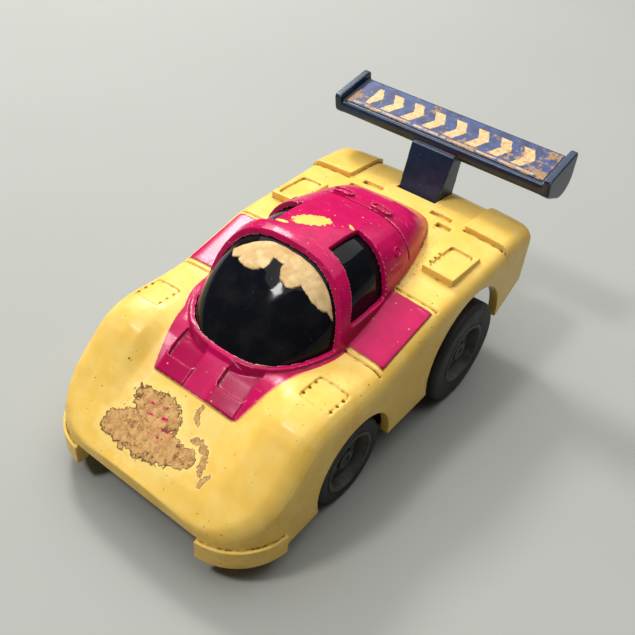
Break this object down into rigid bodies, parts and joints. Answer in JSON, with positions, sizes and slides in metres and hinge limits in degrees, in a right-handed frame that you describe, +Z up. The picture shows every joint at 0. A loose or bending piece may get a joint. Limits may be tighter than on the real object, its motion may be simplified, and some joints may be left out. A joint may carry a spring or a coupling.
{
  "type": "pullback toy car",
  "caption": "Pull-back toy racing car with a moulded shell body, dark window moulding, raised rear wing and a clip-in chassis carrying a spring motor geared to the rear axle.",
  "frame": {"origin": "on the ground under the middle of the overall length and width", "axes": "the car points along -Y, +X is its left side and +Z is up"},
  "size_m": [0.0296, 0.0552, 0.0252],
  "materials": {
    "body_plastic": "glossy pale yellow moulded plastic, partly painted magenta, lightly worn",
    "window_plastic": "smoked black glossy plastic",
    "wing_plastic": "semi-gloss navy plastic with worn edges",
    "wing_label": "worn printed paper label",
    "chassis_plastic": "matt black moulded plastic",
    "hub_plastic": "satin dark grey moulded plastic",
    "tyre_rubber": "matt black rubber",
    "steel": "plain drawn steel",
    "gear_plastic": "natural white moulded plastic",
    "spring_steel": "blued spring steel strip",
    "case_plastic": "dark grey moulded plastic"
  },
  "bodies": {
    "car": {"body_shell": "body_plastic", "window_insert": "window_plastic", "rear_wing": "wing_plastic", "wing_label": "wing_label", "chassis": "chassis_plastic", "motor_case_left": "case_plastic", "motor_case_right": "case_plastic", "mainspring": "spring_steel", "step_up_pin": "steel"},
    "front_wheels": {"front_axle": "steel", "front_hub_left": "hub_plastic", "front_hub_right": "hub_plastic", "front_tyre_left": "tyre_rubber", "front_tyre_right": "tyre_rubber"},
    "rear_wheels": {"rear_axle": "steel", "rear_hub_left": "hub_plastic", "rear_hub_right": "hub_plastic", "rear_tyre_left": "tyre_rubber", "rear_tyre_right": "tyre_rubber", "axle_pinion": "gear_plastic"},
    "clutch_carrier": {"clutch_pin": "steel"},
    "clutch_wheel": {"clutch_gear": "gear_plastic"},
    "step_up_wheel": {"step_up_gear": "gear_plastic"},
    "spring_wheel": {"spring_gear": "gear_plastic"}
  },
  "joints": [
    {"name": "front_axle_spin", "type": "hinge", "parent": "car", "child": "front_wheels", "pos_m": [0, -0.01093, 0.005], "axis": [1, 0, 0], "continuous": true},
    {"name": "rear_axle_spin", "type": "hinge", "parent": "car", "child": "rear_wheels", "pos_m": [0, 0.00947, 0.00625], "axis": [1, 0, 0], "continuous": true},
    {"name": "clutch_slide", "type": "slide", "parent": "car", "child": "clutch_carrier", "axis": [0, 0.9903, -0.1392], "range_m": [0, 0.0008]},
    {"name": "clutch_gear_spin", "type": "hinge", "parent": "clutch_carrier", "child": "clutch_wheel", "pos_m": [0, 0.01368, 0.00746], "axis": [1, 0, 0], "continuous": true},
    {"name": "step_up_spin", "type": "hinge", "parent": "car", "child": "step_up_wheel", "pos_m": [0, 0.00863, 0.01061], "axis": [1, 0, 0], "continuous": true},
    {"name": "spring_gear_spin", "type": "hinge", "parent": "car", "child": "spring_wheel", "pos_m": [0, 0.00264, 0.00934], "axis": [1, 0, 0], "continuous": true, "deforming": ["mainspring"]}
  ],
  "couplings": [
    {"joint": "clutch_gear_spin", "follows": "rear_axle_spin", "ratio": -0.5625},
    {"joint": "step_up_spin", "follows": "rear_axle_spin", "ratio": 0.5},
    {"joint": "spring_gear_spin", "follows": "rear_axle_spin", "ratio": -0.17308}
  ]
}
